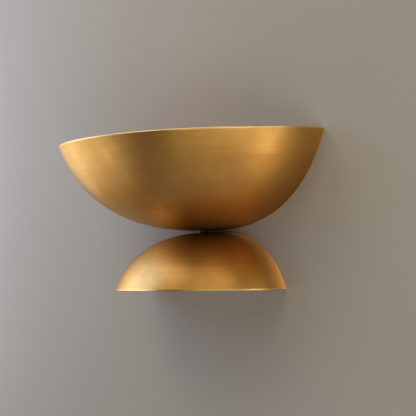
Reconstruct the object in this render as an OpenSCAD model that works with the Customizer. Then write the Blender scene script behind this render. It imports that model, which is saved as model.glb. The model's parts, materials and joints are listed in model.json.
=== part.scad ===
// Up and down wall light: a wide brass half bowl over a smaller half dome.
// The wall plane is y = 0 and the room lies on the -Y side.
// The origin is the middle of the two slots of the mounting strap, on the wall plane.

/* [Bowls] */
// Width of the upper bowl at its rim
upper_w = 381; // [340:1:420]
// How far the upper bowl stands out from the wall
upper_out = 150.8; // [135:0.1:170]
// Height of the upper bowl from the waist to its rim
upper_h = 92.2; // [88:0.1:100]
// Width of the lower dome at its rim
lower_w = 252; // [240:1:270]
// How far the lower dome stands out from the wall
lower_out = 95.4; // [92:0.1:110]
// Height of the lower dome from the waist to its rim
lower_h = 59.4; // [58:0.1:70]
// Thickness of the brass sheet
sheet = 1.5; // [1.2:0.1:1.8]
// Half width of the flat at the waist of each half
waist_flat = 12; // [10:0.5:14]
// Roundness of the bowl's outline, where 2 is an ellipse
roundness = 2.55; // [2.45:0.01:2.7]
// Depth of the full oval that the outline is cut from, in bowl heights
oval_depth = 2.05; // [2:0.01:2.3]

/* [Back covers] */
// Depth of the wiring space between the wall and the back covers
wiring_d = 20; // [20:0.5:22]
// Thickness of the back covers and lamp brackets
plate_t = 1.5; // [1.2:0.1:1.8]
// Play between a back cover and its bowl
cover_play = 0.25; // [0.2:0.05:0.3]
// How far a cover's closing flange lies inside the rim
flange_drop = 8; // [6:0.5:10]
// Half width of the foot that is clamped at the waist
foot_half_w = 9; // [8.5:0.5:9.5]
// Thickness of the lugs that hold a bowl to its cover
lug_t = 1.2; // [1:0.1:1.6]
// Height of a lug
lug_h = 10; // [8:0.5:12]
// How far a lug reaches along the bowl from the cover
lug_reach = 14; // [10:0.5:18]
// How far a lug's foot reaches along the cover from the bowl
lug_foot = 14; // [13:0.5:16]
// Distance of a lug's middle below the closing flange
lug_drop = 14; // [10:0.5:16]
// Brazed joint between a lug and the bowl
lug_braze = 0.15; // [0.1:0.01:0.2]
// Diameter of the lug screws
lug_screw_d = 3; // [2.5:0.1:4]
// Distance of a lug screw from the bowl
lug_screw_in = 8.5; // [8:0.5:10]

/* [Mounting strap] */
// Height of the strap's middle above the waist
strap_rise = 46; // [43:0.5:50]
// Length of strap past the middle of each stud
strap_end = 7; // [6:0.5:12]
// Width of the strap
strap_w = 19; // [16:0.5:22]
// Thickness of the strap
strap_t = 2; // [1.8:0.1:2.2]
// Distance between the middles of the two slots
slot_spacing = 76; // [74:0.5:78]
// End to end length of a slot
slot_l = 26; // [20:0.5:27]
// Width of a slot
slot_w = 4.4; // [4:0.1:5]
// Diameter of the strap's middle hole
strap_hole_d = 10.2; // [8:0.1:12]

/* [Studs and nuts] */
// Distance between the two mounting studs
stud_spacing = 116; // [114:0.5:117]
// Diameter of the mounting studs
stud_d = 4; // [3:0.1:5]
// How far a stud reaches past the cover into its cap nut
stud_reach = 8; // [6:0.5:9]
// Width across the flats of the studs' lock nuts
lock_nut_af = 7; // [6.5:0.5:8]
// Height of the studs' lock nuts
lock_nut_h = 2.4; // [2:0.1:4]
// Diameter of the knurled cap nuts
cap_nut_d = 12; // [10:0.5:14]
// Height of the knurled cap nuts
cap_nut_h = 11; // [10:0.5:13]
// Play round a screw, stud or nipple in its hole, on the radius
hole_play = 0.1; // [0.05:0.01:0.15]

/* [Waist] */
// Thickness of the spacer ring between the two halves
spacer_t = 2; // [1.5:0.1:2.5]
// Outer diameter of the spacer ring
spacer_d = 14; // [13:0.5:15]
// Least room between a cover's foot and the bowl under its corners
foot_room = 0.15; // [0.1:0.05:0.3]
// Room between the toothed washers and the back covers
washer_room = 1.5; // [1:0.1:2]
// Outer diameter of the hollow nipple
nipple_d = 10; // [9.6:0.1:10.2]
// Bore of the hollow nipple
nipple_bore_d = 7.2; // [7:0.1:7.4]
// How far the nipple stands out of each waist nut
nipple_proud = 2; // [1:0.5:3]
// Width across the flats of the waist nuts
waist_nut_af = 14; // [13:0.5:15]
// Height of the waist nuts
waist_nut_h = 3; // [2:0.1:4]
// Outer diameter of the toothed washers
washer_d = 15; // [14:0.5:16]
// Thickness of the toothed washers
washer_t = 1.2; // [0.8:0.1:1.6]
// Number of teeth round a washer
washer_teeth = 10; // [6:1:14]
// Thickness of a bushing's rim on the nipple's end
bushing_rim = 1.2; // [0.8:0.1:2]
// Length of a bushing inside the nipple
bushing_l = 5; // [3:0.5:6]

/* [Lamps] */
// Distance of the upper lamp from the wall
upper_lamp_y = 50; // [46:0.5:54]
// Distance of the lower lamp from the wall
lower_lamp_y = 38; // [37.5:0.5:39]
// Least room between a lamp bracket and the bowl behind it
bracket_room = 3; // [2.8:0.1:3.4]
// Height of the bracket's flange on the cover
bracket_flange_h = 18; // [16:0.5:20]
// Distance between the two rivets of a bracket
rivet_spacing = 12; // [10:0.5:14]
// Shank diameter of a rivet
rivet_d = 3.2; // [2.4:0.1:4]
// Head diameter of a rivet
rivet_head_d = 6; // [5:0.1:7]
// Head height of a rivet
rivet_head_h = 1.4; // [1:0.1:1.8]
// Diameter of the ceramic lamp holder
holder_d = 18; // [17:0.1:18.4]
// Height of the ceramic lamp holder
holder_h = 16; // [15:0.1:17]
// Radius of a holder's ear
ear_r = 3.5; // [3:0.1:4]
// Height of a holder's ear
ear_h = 3; // [2:0.1:3.4]
// Diameter of the holder screws
holder_screw_d = 3; // [2.5:0.1:3.2]
// Head diameter of the holder screws
holder_screw_head_d = 4.6; // [4.2:0.1:5.4]
// Room between a holder screw's head and the holder's body
head_room = 0.2; // [0.1:0.05:0.5]
// Width of the lamp's flat foot
lamp_foot_w = 13.4; // [12:0.1:14]
// Depth of the lamp's flat foot
lamp_foot_d = 5.4; // [4:0.1:6]
// Length of the lamp's flat foot
lamp_foot_l = 9; // [7:0.1:9.5]
// Play round the lamp's foot and pins in the holder
lamp_play = 0.3; // [0.2:0.05:0.4]
// Distance between the lamp's two looped pins
pin_spacing = 9; // [8.6:0.1:9.2]
// Thickness of the pin wire
pin_wire_d = 0.9; // [0.7:0.1:1]
// Width of a pin's loop, between the middles of its wire
pin_loop_w = 2.2; // [2:0.1:2.6]
// Height of a pin's loop below the lamp's foot
pin_l = 4.5; // [4:0.1:5]
// Diameter of the lamp's collar
collar_d = 16; // [15:0.1:17]
// Height of the lamp's collar
collar_h = 2; // [1.5:0.1:2.4]
// Diameter of the lamp's glass
glass_d = 14; // [13:0.1:15]
// Length of the lamp's glass above the collar
glass_l = 25; // [23:0.1:26]
// Thickness of the lamp's glass
glass_t = 0.8; // [0.6:0.1:1]
// Width of the light strip inside the glass
core_w = 5; // [4:0.1:6]
// Depth of the light strip inside the glass
core_d = 2.4; // [1.5:0.1:3]
// Length of the light strip inside the glass
core_l = 17; // [14:0.1:18]

/* [Wiring] */
// Diameter of a lead with its insulation
lead_d = 1.8; // [1.6:0.1:1.9]
// Distance between the two leads of a pair
lead_pitch = 2.2; // [2.1:0.1:2.3]
// Room between a lamp bracket and the grommet beside it
grommet_room = 1.5; // [1:0.1:2]
// Height of the lead exits above a lamp bracket
lead_exit_h = 7; // [6.8:0.1:7.4]
// Outer diameter of a grommet
grommet_d = 11; // [10:0.5:12]
// Diameter of a grommet's neck in the cover
grommet_neck_d = 8.4; // [7.6:0.1:9]
// Bore of a grommet
grommet_bore_d = 5.2; // [5:0.1:6]
// Thickness of a grommet's rim on each side of the cover
grommet_rim = 1.6; // [1:0.1:2]
// Largest diameter of a wire connector
connector_d = 11; // [10:0.5:12]
// Length of a wire connector
connector_l = 18; // [16:0.5:20]
// Diameter of a wire connector's mouth
connector_bore_d = 5; // [4.6:0.1:5.4]
// Sideways distance of the wire connectors from the middle
connector_x = 30; // [29.5:0.5:31]
// Diameter of the two ground screws
ground_screw_d = 4; // [3:0.1:4.2]
// Head diameter of the two ground screws
ground_head_d = 8; // [7:0.1:9]
// Head height of the two ground screws
ground_head_h = 2.4; // [2:0.1:3]
// Thickness of a ring terminal
ring_t = 0.8; // [0.6:0.1:1]

/* [Hidden] */
$fn = 48;
bowl_fn = 128;
profile_steps = 22;
upper_r = upper_w / 2;
lower_r = lower_w / 2;
waist_z = -strap_rise;
upper_z = waist_z + spacer_t / 2;
lower_z = waist_z - spacer_t / 2;
cover_front = wiring_d + plate_t;
nipple_y = wiring_d - washer_room - washer_d / 2;
holder_screw_x = holder_d / 2 + head_room + holder_screw_head_d / 2;
bracket_half_w = holder_screw_x + ear_r;
strap_l = stud_spacing + 2 * strap_end;
grommet_x = bracket_half_w + grommet_room + grommet_d / 2;
cut = 1;
brass = [0.72, 0.5, 0.22];
zinc = [0.75, 0.76, 0.78];

// Outline of a bowl: a rounded oval, flat at the waist.
// The oval's half width makes the outline reach the rim radius at the bowl's height.
function oval_half(r_rim) = r_rim / pow(1 - pow(1 - 1 / oval_depth, roundness), 1 / roundness);
function oval_fall(q) = 1 - pow(1 - pow(q, roundness), 1 / roundness);

// Height of the bowl's outside over the waist, at a radius past the flat
function rise(r, r_rim, h) =
    let (low = oval_fall(waist_flat / oval_half(r_rim)))
    h * (oval_fall(max(r, waist_flat) / oval_half(r_rim)) - low) / (1 / oval_depth - low);

// Radius of the bowl's outside at a height over the waist
function radius_at(z, r_rim, h) =
    let (a = oval_half(r_rim), low = oval_fall(waist_flat / a), fall = low + z / h * (1 / oval_depth - low))
    a * pow(1 - pow(1 - fall, roundness), 1 / roundness);

function angle_at(r, r_rim) = asin(pow(r / oval_half(r_rim), roundness / 2));

function outline_point(angle, r_rim, h) =
    let (r = oval_half(r_rim) * pow(sin(angle), 2 / roundness))
    [r, rise(r, r_rim, h)];

function tangent(angle, r_rim, h) =
    let (step = 0.05, way = outline_point(angle + step, r_rim, h) - outline_point(angle - step, r_rim, h))
    way / norm(way);

// Outline moved inwards by the inset, square to itself
function outline(r_rim, h, inset) =
    let (first = angle_at(waist_flat, r_rim), last = angle_at(r_rim, r_rim))
    [for (i = [1 : profile_steps])
        let (a = first + (last - first) * i / profile_steps, t = tangent(a, r_rim, h))
        outline_point(a, r_rim, h) + inset * [-t.y, t.x]];

// Solid half bowl with its flat at z = 0, opening upwards
module bowl_outside(r_rim, out, h) {
    scale([1, out / r_rim, 1])
        rotate_extrude(angle = 180, start = 180, $fn = bowl_fn)
            polygon(concat([[0, 0], [waist_flat, 0]], outline(r_rim, h, 0), [[0, h]]));
}

// The space inside a bowl, all the way round and past its rim
module bowl_inside(r_rim, out, h, inset) {
    rim_way = tangent(angle_at(r_rim, r_rim), r_rim, h);
    rim_wall = inset / rim_way.y;
    points = outline(r_rim, h, inset);
    mouth = points[profile_steps - 1] + 4 * rim_way;
    scale([1, (out - rim_wall) / (r_rim - rim_wall), 1])
        rotate_extrude($fn = bowl_fn)
            polygon(concat([[0, inset], [waist_flat, inset]], points, [mouth, [0, mouth.y]]));
}

module at_nipple() {
    translate([0, -nipple_y, 0]) children();
}

// Height of the brazed pad under a cover's foot, enough to lift the foot's corners off the curved bowl
function foot_rise(r_rim, out, h) = rise(norm([foot_half_w, cover_front * r_rim / out]), r_rim, h);
pad_t = sheet + foot_room + max(
    foot_rise(upper_r, upper_out, upper_h), foot_rise(lower_r, lower_out, lower_h));

module bowl(r_rim, out, h) {
    color(brass)
        difference() {
            union() {
                difference() {
                    bowl_outside(r_rim, out, h);
                    bowl_inside(r_rim, out, h, sheet);
                }
                at_nipple() cylinder(d = washer_d, h = pad_t);
            }
            at_nipple()
                translate([0, 0, -cut])
                    cylinder(d = nipple_d + 2 * hole_play, h = pad_t + 2 * cut);
        }
}

// The upper half is built opening upwards from the waist, the lower half is its mirror
module upper() {
    translate([0, 0, upper_z]) children();
}

module lower() {
    translate([0, 0, lower_z]) mirror([0, 0, 1]) children();
}

module upper_bowl() {
    upper() bowl(upper_r, upper_out, upper_h);
}

module lower_dome() {
    lower() bowl(lower_r, lower_out, lower_h);
}

// A lamp's levels above the waist, kept clear of the bowl under the bracket's front corner
bracket_front = holder_d / 2 - 1;
function bracket_level(r_rim, out, h, lamp_y) =
    let (corner = norm([bracket_half_w, (lamp_y + bracket_front) * r_rim / out]))
    rise(corner, r_rim, h) + sheet + bracket_room;
upper_level = bracket_level(upper_r, upper_out, upper_h, upper_lamp_y);
lower_level = bracket_level(lower_r, lower_out, lower_h, lower_lamp_y);
rivet_h = bracket_flange_h * 0.65;

// Back cover: a flat front, a flange that closes the wiring space at the rim, and a clamped foot
module back_cover(r_rim, out, h, level) {
    flange_z = h - flange_drop;
    color(zinc)
        difference() {
            union() {
                intersection() {
                    bowl_inside(r_rim, out, h, sheet + cover_play);
                    union() {
                        translate([-r_rim, -cover_front, 0]) cube([2 * r_rim, plate_t, flange_z]);
                        translate([-r_rim, -cover_front, flange_z - plate_t])
                            cube([2 * r_rim, cover_front - cover_play, plate_t]);
                    }
                }
                translate([-foot_half_w, -cover_front, pad_t])
                    cube([2 * foot_half_w, cover_front - nipple_y + nipple_d, plate_t]);
            }
            at_nipple() cylinder(d = nipple_d + 2 * hole_play, h = pad_t + plate_t + cut);
            for (side = [-1, 1])
                translate([side * rivet_spacing / 2, -wiring_d + cut, level + rivet_h])
                    rotate([90, 0, 0])
                        cylinder(d = rivet_d + 2 * hole_play, h = plate_t + 2 * cut);
            translate([grommet_x, -wiring_d + cut, level + plate_t + lead_exit_h])
                rotate([90, 0, 0])
                    cylinder(d = grommet_neck_d + 2 * hole_play, h = plate_t + 2 * cut);
            at_lug_screws(r_rim, out, h)
                translate([0, 0, -plate_t - cut])
                    cylinder(d = lug_screw_d + 2 * hole_play, h = plate_t + 2 * cut);
        }
}

// Lugs: one at each end of a cover, brazed inside the bowl and screwed to the cover's front
function lug_z(h) = h - flange_drop - plate_t - lug_drop;

function wall_x(y, z, r_rim, out, h) =
    let (r = radius_at(z, r_rim, h))
    sqrt(r * r - pow(y * r_rim / out, 2)) - sheet;

module at_lug_screws(r_rim, out, h) {
    x = wall_x(cover_front, lug_z(h), r_rim, out, h) - lug_screw_in;
    for (side = [-1, 1])
        translate([side * x, -cover_front, lug_z(h)])
            rotate([90, 0, 0])
                children();
}

module bowl_lugs(r_rim, out, h) {
    foot_x = wall_x(cover_front, lug_z(h), r_rim, out, h) - lug_foot;
    far = r_rim - foot_x;
    color(brass)
        difference() {
            intersection() {
                bowl_inside(r_rim, out, h, sheet + lug_braze);
                for (side = [-1, 1])
                    translate([side > 0 ? foot_x : -foot_x - far, 0, lug_z(h) - lug_h / 2])
                        union() {
                            translate([0, -cover_front - lug_t, 0]) cube([far, lug_t, lug_h]);
                            translate([0, -cover_front - lug_reach, 0]) cube([far, lug_reach, lug_h]);
                        }
            }
            intersection() {
                bowl_inside(r_rim, out, h, sheet + lug_braze + lug_t);
                translate([-r_rim, -cover_front - lug_t - out, 0]) cube([2 * r_rim, out, h]);
            }
            at_lug_screws(r_rim, out, h)
                translate([0, 0, -cut])
                    cylinder(d = lug_screw_d + 2 * hole_play, h = lug_t + 2 * cut);
        }
}

module lug_screws(r_rim, out, h) {
    grip = lug_t + plate_t + 2;
    color(zinc)
        at_lug_screws(r_rim, out, h)
            translate([0, 0, lug_t]) {
                translate([0, 0, -grip]) cylinder(d = lug_screw_d, h = grip);
                difference() {
                    dome_head(lug_screw_d * 1.9, lug_screw_d * 0.6);
                    translate([0, 0, lug_screw_d * 0.6]) cube([8, 0.7, 1.4], center = true);
                }
            }
}

module upper_bowl_lugs() {
    upper() bowl_lugs(upper_r, upper_out, upper_h);
}

module lower_dome_lugs() {
    lower() bowl_lugs(lower_r, lower_out, lower_h);
}

module upper_lug_screws() {
    upper() lug_screws(upper_r, upper_out, upper_h);
}

module lower_lug_screws() {
    lower() lug_screws(lower_r, lower_out, lower_h);
}

// Where the cover's ground screw sits, from the strap's middle
ground_cover_x = -12;
ground_cover_z = 14;
ground_strap_x = 15;

module upper_back_cover() {
    difference() {
        upper() back_cover(upper_r, upper_out, upper_h, upper_level);
        for (side = [-1, 1])
            translate([side * stud_spacing / 2, -wiring_d + cut, 0])
                rotate([90, 0, 0])
                    cylinder(d = stud_d + 2 * hole_play, h = plate_t + 2 * cut);
        translate([ground_cover_x, -wiring_d + cut, ground_cover_z])
            rotate([90, 0, 0])
                cylinder(d = ground_screw_d + 2 * hole_play, h = plate_t + 2 * cut);
    }
}

module lower_back_cover() {
    lower() back_cover(lower_r, lower_out, lower_h, lower_level);
}

// Waist: pad and foot of both halves are clamped against the spacer between washers and nuts
clamp_z = pad_t + plate_t;
nut_z = clamp_z + washer_t;
nipple_z = nut_z + waist_nut_h + nipple_proud;

nipple_top = upper_z + nipple_z;
nipple_bottom = lower_z - nipple_z;

module waist_spacer() {
    color([0.12, 0.12, 0.12])
        translate([0, -nipple_y, lower_z])
            difference() {
                cylinder(d = spacer_d, h = spacer_t);
                translate([0, 0, -cut])
                    cylinder(d = nipple_d + 2 * hole_play, h = spacer_t + 2 * cut);
            }
}

module waist_nipple() {
    color(zinc)
        translate([0, -nipple_y, nipple_bottom])
            difference() {
                cylinder(d = nipple_d, h = nipple_top - nipple_bottom);
                translate([0, 0, -cut])
                    cylinder(d = nipple_bore_d, h = nipple_top - nipple_bottom + 2 * cut);
            }
}

module bushing() {
    sleeve_r = nipple_bore_d / 2 - hole_play;
    bore_r = sleeve_r - 0.5;
    translate([0, 0, nipple_z])
        rotate_extrude()
            polygon([[bore_r, -bushing_l], [sleeve_r, -bushing_l], [sleeve_r, 0], [nipple_d / 2, 0],
                [nipple_d / 2, bushing_rim / 2], [nipple_d / 2 - bushing_rim / 2, bushing_rim],
                [bore_r, bushing_rim]]);
}

module both_ends() {
    upper() at_nipple() children();
    lower() at_nipple() children();
}

module nipple_bushings() {
    color([0.12, 0.12, 0.12]) both_ends() bushing();
}

module toothed_washer() {
    hole_r = nipple_d / 2 + hole_play;
    translate([0, 0, clamp_z])
        difference() {
            cylinder(d = washer_d, h = washer_t);
            translate([0, 0, -cut]) cylinder(r = hole_r, h = washer_t + 2 * cut);
            for (i = [0 : washer_teeth - 1])
                rotate(i * 360 / washer_teeth)
                    translate([washer_d / 2, 0, washer_t / 2])
                        cube([washer_d / 8, 1.2, washer_t + 2 * cut], center = true);
        }
}

module waist_washers() {
    color(zinc) both_ends() toothed_washer();
}

module hex_nut(across_flats, bore_d, h) {
    difference() {
        rotate(30) cylinder(d = across_flats / cos(30), h = h, $fn = 6);
        translate([0, 0, -cut]) cylinder(d = bore_d + 2 * hole_play, h = h + 2 * cut);
    }
}

module waist_nuts() {
    color([0.8, 0.68, 0.4])
        both_ends()
            translate([0, 0, nut_z])
                rotate(30)
                    hex_nut(waist_nut_af, nipple_d, waist_nut_h);
}

// Strap: lies on the wall and takes the wall box's screws through its slots
module slot() {
    half = (slot_l - slot_w) / 2;
    translate([-half, -slot_w / 2, -cut]) cube([2 * half, slot_w, strap_t + 2 * cut]);
    for (side = [-1, 1])
        translate([side * half, 0, -cut]) cylinder(d = slot_w, h = strap_t + 2 * cut);
}

module mounting_strap() {
    corner_r = 3;
    color(zinc)
        rotate([90, 0, 0])
            difference() {
                linear_extrude(strap_t)
                    union() {
                        square([strap_l - 2 * corner_r, strap_w], center = true);
                        square([strap_l, strap_w - 2 * corner_r], center = true);
                        for (x = [-1, 1], y = [-1, 1])
                            translate([x * (strap_l / 2 - corner_r), y * (strap_w / 2 - corner_r)])
                                circle(corner_r);
                    }
                for (side = [-1, 1]) {
                    translate([side * slot_spacing / 2, 0, 0]) slot();
                    translate([side * stud_spacing / 2, 0, -cut])
                        cylinder(d = stud_d + 2 * hole_play, h = strap_t + 2 * cut);
                }
                translate([0, 0, -cut]) cylinder(d = strap_hole_d, h = strap_t + 2 * cut);
                translate([ground_strap_x, 0, -cut])
                    cylinder(d = ground_screw_d + 2 * hole_play, h = strap_t + 2 * cut);
            }
}

// Puts a turned fastener on the studs' axes, pointing into the room, from a depth off the wall
module at_studs(depth) {
    for (side = [-1, 1])
        translate([side * stud_spacing / 2, -depth, 0])
            rotate([90, 0, 0])
                children();
}

stud_tip = cover_front + stud_reach;

module mounting_studs() {
    back = 0.3;
    chamfer = 0.5;
    color(zinc)
        at_studs(back)
            union() {
                cylinder(d = stud_d, h = stud_tip - back - chamfer);
                translate([0, 0, stud_tip - back - chamfer])
                    cylinder(d1 = stud_d, d2 = stud_d - 2 * chamfer, h = chamfer);
            }
}

module stud_lock_nuts() {
    color(zinc) at_studs(strap_t) hex_nut(lock_nut_af, stud_d, lock_nut_h);
}

// Cap nut: a skirt on the cover, a knurled grip and a domed end
module cap_nuts() {
    grip_r = cap_nut_d / 2;
    skirt_h = 1.6;
    dome_h = cap_nut_h * 0.3;
    groove = 0.5;
    color([0.82, 0.66, 0.36])
        at_studs(cover_front)
            difference() {
                rotate_extrude()
                    polygon(concat(
                        [[0, 0], [grip_r + 1, 0], [grip_r + 1, skirt_h - 0.4], [grip_r + 0.6, skirt_h],
                            [grip_r - groove, skirt_h], [grip_r - groove, skirt_h + 0.6],
                            [grip_r, skirt_h + 1], [grip_r, cap_nut_h - dome_h]],
                        [for (a = [15 : 15 : 90])
                            [grip_r * cos(a), cap_nut_h - dome_h + dome_h * sin(a)]]));
                translate([0, 0, -cut])
                    cylinder(d = stud_d + 2 * hole_play, h = cut + stud_reach + 0.6);
                for (i = [0 : 17])
                    rotate(i * 20)
                        translate([grip_r + 0.15, 0, skirt_h + 1])
                            cylinder(r = 0.45, h = cap_nut_h, $fn = 16);
            }
}

// Ground screw: a flanged hex head over a ring terminal
module ground_screw(grip) {
    translate([0, 0, ring_t]) {
        cylinder(d = ground_head_d, h = 0.8);
        cylinder(d = 7 / cos(30), h = ground_head_h, $fn = 6);
    }
    translate([0, 0, -grip]) cylinder(d = ground_screw_d, h = grip + ring_t);
}

module at_strap_ground() {
    translate([ground_strap_x, -strap_t, 0]) rotate([90, 0, 0]) children();
}

module at_cover_ground() {
    translate([ground_cover_x, -wiring_d, ground_cover_z]) rotate([-90, 0, 0]) children();
}

module strap_ground_screw() {
    color([0.1, 0.45, 0.2]) at_strap_ground() ground_screw(strap_t - 0.3);
}

module cover_ground_screw() {
    color([0.1, 0.45, 0.2]) at_cover_ground() ground_screw(plate_t + 2);
}

// Ring terminal: a flat eye with a crimped barrel that points along +Y of its own frame
barrel_r = 1.5;
barrel_l = 5;
barrel_start = ground_head_d / 2 + 0.4;

module ring_terminal() {
    difference() {
        union() {
            cylinder(d = ground_head_d + 0.6, h = ring_t);
            translate([-barrel_r, 0, 0]) cube([2 * barrel_r, barrel_start + barrel_l, ring_t]);
            translate([0, barrel_start, barrel_r]) rotate([-90, 0, 0]) cylinder(r = barrel_r, h = barrel_l);
        }
        translate([0, 0, -cut]) cylinder(d = ground_screw_d + 2 * hole_play, h = ring_t + 2 * cut);
        translate([0, barrel_start + 1, barrel_r])
            rotate([-90, 0, 0])
                cylinder(d = lead_d + 0.1, h = barrel_l);
    }
}

module ring_terminals() {
    color([0.8, 0.6, 0.3]) {
        at_strap_ground() rotate(180) ring_terminal();
        at_cover_ground() ring_terminal();
    }
}

// Lead: a round tube swept along a smooth curve through its stations
lead_sides = 8;
lead_steps = 3;
short_way = 4;
bend_way = 6;
long_way = 9.5;

function blend_point(p, i, t) =
    let (last = len(p) - 1, a = p[max(i - 1, 0)], b = p[i], c = p[i + 1], d = p[min(i + 2, last)])
    0.5 * (2 * b + (c - a) * t + (2 * a - 5 * b + 4 * c - d) * t * t
        + (3 * b - a - 3 * c + d) * t * t * t);

function route(p) = concat(
    [for (i = [0 : len(p) - 2], k = [0 : lead_steps - 1]) blend_point(p, i, k / lead_steps)],
    [p[len(p) - 1]]);

function unit(v) = v / norm(v);

function headings(q) = [for (i = [0 : len(q) - 1]) unit(q[min(i + 1, len(q) - 1)] - q[max(i - 1, 0)])];

// Carries a side direction along the route without twist
function sides_along(t) = [
    for (i = 0, s = unit(cross(t[0], [0.31, 0.52, 0.79]));
        i < len(t);
        i = i + 1, s = i < len(t) ? unit(s - (s * t[i]) * t[i]) : s) s];

module lead(stations) {
    q = route(stations);
    t = headings(q);
    s = sides_along(t);
    rings = len(q);
    points = [for (i = [0 : rings - 1], k = [0 : lead_sides - 1])
        let (a = 360 * k / lead_sides)
        q[i] + lead_d / 2 * (cos(a) * s[i] + sin(a) * cross(t[i], s[i]))];
    walls = [for (i = [0 : rings - 2], k = [0 : lead_sides - 1])
        let (a = i * lead_sides + k, b = i * lead_sides + (k + 1) % lead_sides)
        each [[a, a + lead_sides, b], [b, a + lead_sides, b + lead_sides]]];
    ends = [[for (k = [0 : lead_sides - 1]) k],
        [for (k = [lead_sides - 1 : -1 : 0]) (rings - 1) * lead_sides + k]];
    polyhedron(points, concat(walls, ends), convexity = 8);
}

module ground_wire() {
    barrel_z = barrel_start + 1.4;
    color([0.15, 0.5, 0.2])
        lead([
            [ground_strap_x, -strap_t - barrel_r, -barrel_z],
            [ground_strap_x, -strap_t - barrel_r, -barrel_z - short_way],
            [ground_strap_x, -strap_t - barrel_r, -barrel_z - bend_way],
            [ground_strap_x - 2, -strap_t - barrel_r - 2, -barrel_z - long_way],
            [7, -10, -17],
            [-3, -14.5, -14],
            [-10, -17.5, -7],
            [ground_cover_x, -wiring_d + barrel_r, ground_cover_z - barrel_z - bend_way],
            [ground_cover_x, -wiring_d + barrel_r, ground_cover_z - barrel_z - short_way],
            [ground_cover_x, -wiring_d + barrel_r, ground_cover_z - barrel_z]
        ]);
}

// Bracket: an L that carries a lamp holder on a shelf square to the cover
module lamp_bracket(level, lamp_y) {
    shelf_y = lamp_y + bracket_front;
    color(zinc)
        difference() {
            union() {
                translate([-bracket_half_w, -shelf_y, level])
                    cube([2 * bracket_half_w, shelf_y - cover_front, plate_t]);
                translate([-bracket_half_w, -cover_front - plate_t, level])
                    cube([2 * bracket_half_w, plate_t, bracket_flange_h]);
            }
            for (side = [-1, 1]) {
                translate([side * holder_screw_x, -lamp_y, level - cut])
                    cylinder(d = holder_screw_d + 2 * hole_play, h = plate_t + 2 * cut);
                translate([side * rivet_spacing / 2, -cover_front + cut, level + rivet_h])
                    rotate([90, 0, 0])
                        cylinder(d = rivet_d + 2 * hole_play, h = plate_t + 2 * cut);
            }
        }
}

module dome_head(d, h) {
    ball_r = (d * d / 4 + h * h) / (2 * h);
    rotate_extrude()
        polygon(concat([[0, 0]],
            [for (i = [0 : 6])
                let (a = asin(d / 2 / ball_r) * (1 - i / 6))
                [ball_r * sin(a), h - ball_r * (1 - cos(a))]]));
}

module bracket_rivets(level) {
    color(zinc)
        for (side = [-1, 1])
            translate([side * rivet_spacing / 2, -wiring_d, level + rivet_h])
                rotate([90, 0, 0]) {
                    cylinder(d = rivet_d, h = 2 * plate_t);
                    translate([0, 0, 2 * plate_t]) dome_head(rivet_head_d, rivet_head_h);
                    mirror([0, 0, 1]) dome_head(rivet_head_d * 0.8, rivet_head_h * 0.7);
                }
}

// Ceramic holder: a round body with a slot for the lamp's foot, pin pockets and two screw ears
module lamp_holder(level, lamp_y) {
    base_z = level + plate_t;
    slot_depth = lamp_foot_l + lamp_play;
    pocket_l = pin_l + 2 * lamp_play;
    color([0.93, 0.91, 0.86])
        translate([0, -lamp_y, base_z])
            difference() {
                union() {
                    cylinder(d = holder_d, h = holder_h);
                    for (side = [-1, 1])
                        translate([side * holder_screw_x, 0, 0]) cylinder(r = ear_r, h = ear_h);
                    translate([-holder_screw_x, -ear_r, 0]) cube([2 * holder_screw_x, 2 * ear_r, ear_h]);
                }
                translate([0, 0, holder_h - slot_depth / 2 + cut / 2])
                    cube([lamp_foot_w + 2 * lamp_play, lamp_foot_d + 2 * lamp_play, slot_depth + cut],
                        center = true);
                for (side = [-1, 1]) {
                    translate([side * pin_spacing / 2, 0, holder_h - slot_depth - pocket_l / 2 + cut / 2])
                        cube([pin_loop_w + pin_wire_d + 2 * lamp_play, pin_wire_d + 2 * lamp_play,
                            pocket_l + cut], center = true);
                    translate([side * holder_screw_x, 0, -cut])
                        cylinder(d = holder_screw_d + 2 * hole_play, h = ear_h + 2 * cut);
                    translate([holder_d / 2 - 2.5, 0, lead_exit_h + side * lead_pitch / 2])
                        rotate([0, 90, 0])
                            cylinder(d = lead_d + 2 * hole_play, h = 2.5 + cut);
                }
            }
}

module holder_screws(level, lamp_y) {
    color(zinc)
        for (side = [-1, 1])
            translate([side * holder_screw_x, -lamp_y, level + plate_t + ear_h]) {
                reach = ear_h + plate_t + 1.4;
                translate([0, 0, -reach]) cylinder(d = holder_screw_d, h = reach);
                difference() {
                    dome_head(holder_screw_head_d, 1.6);
                    translate([0, 0, 1.6]) cube([8, 0.7, 1.4], center = true);
                }
            }
}

// Lamp levels measured from the holder's mouth
module at_lamp(level, lamp_y) {
    translate([0, -lamp_y, level + plate_t + holder_h]) children();
}

module lamp_glass(level, lamp_y) {
    r_out = glass_d / 2;
    tip_h = glass_d * 0.42;
    steps = 8;
    wall_l = glass_l - tip_h;
    color([0.95, 0.95, 0.92, 0.4])
        at_lamp(level, lamp_y)
            translate([0, 0, collar_h])
                rotate_extrude()
                    polygon(concat(
                        [for (i = [0 : steps])
                            let (a = 90 * i / steps)
                            [r_out * cos(a), wall_l + tip_h * sin(a)]],
                        [for (i = [steps : -1 : 0])
                            let (a = 90 * i / steps)
                            [(r_out - glass_t) * cos(a), wall_l + (tip_h - glass_t) * sin(a)]],
                        [[r_out - glass_t, 0], [r_out, 0]]));
}

module lamp_foot(level, lamp_y) {
    color([0.9, 0.9, 0.88])
        at_lamp(level, lamp_y) {
            cylinder(d = collar_d, h = collar_h);
            translate([-lamp_foot_w / 2, -lamp_foot_d / 2, -lamp_foot_l])
                cube([lamp_foot_w, lamp_foot_d, lamp_foot_l]);
        }
}

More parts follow.
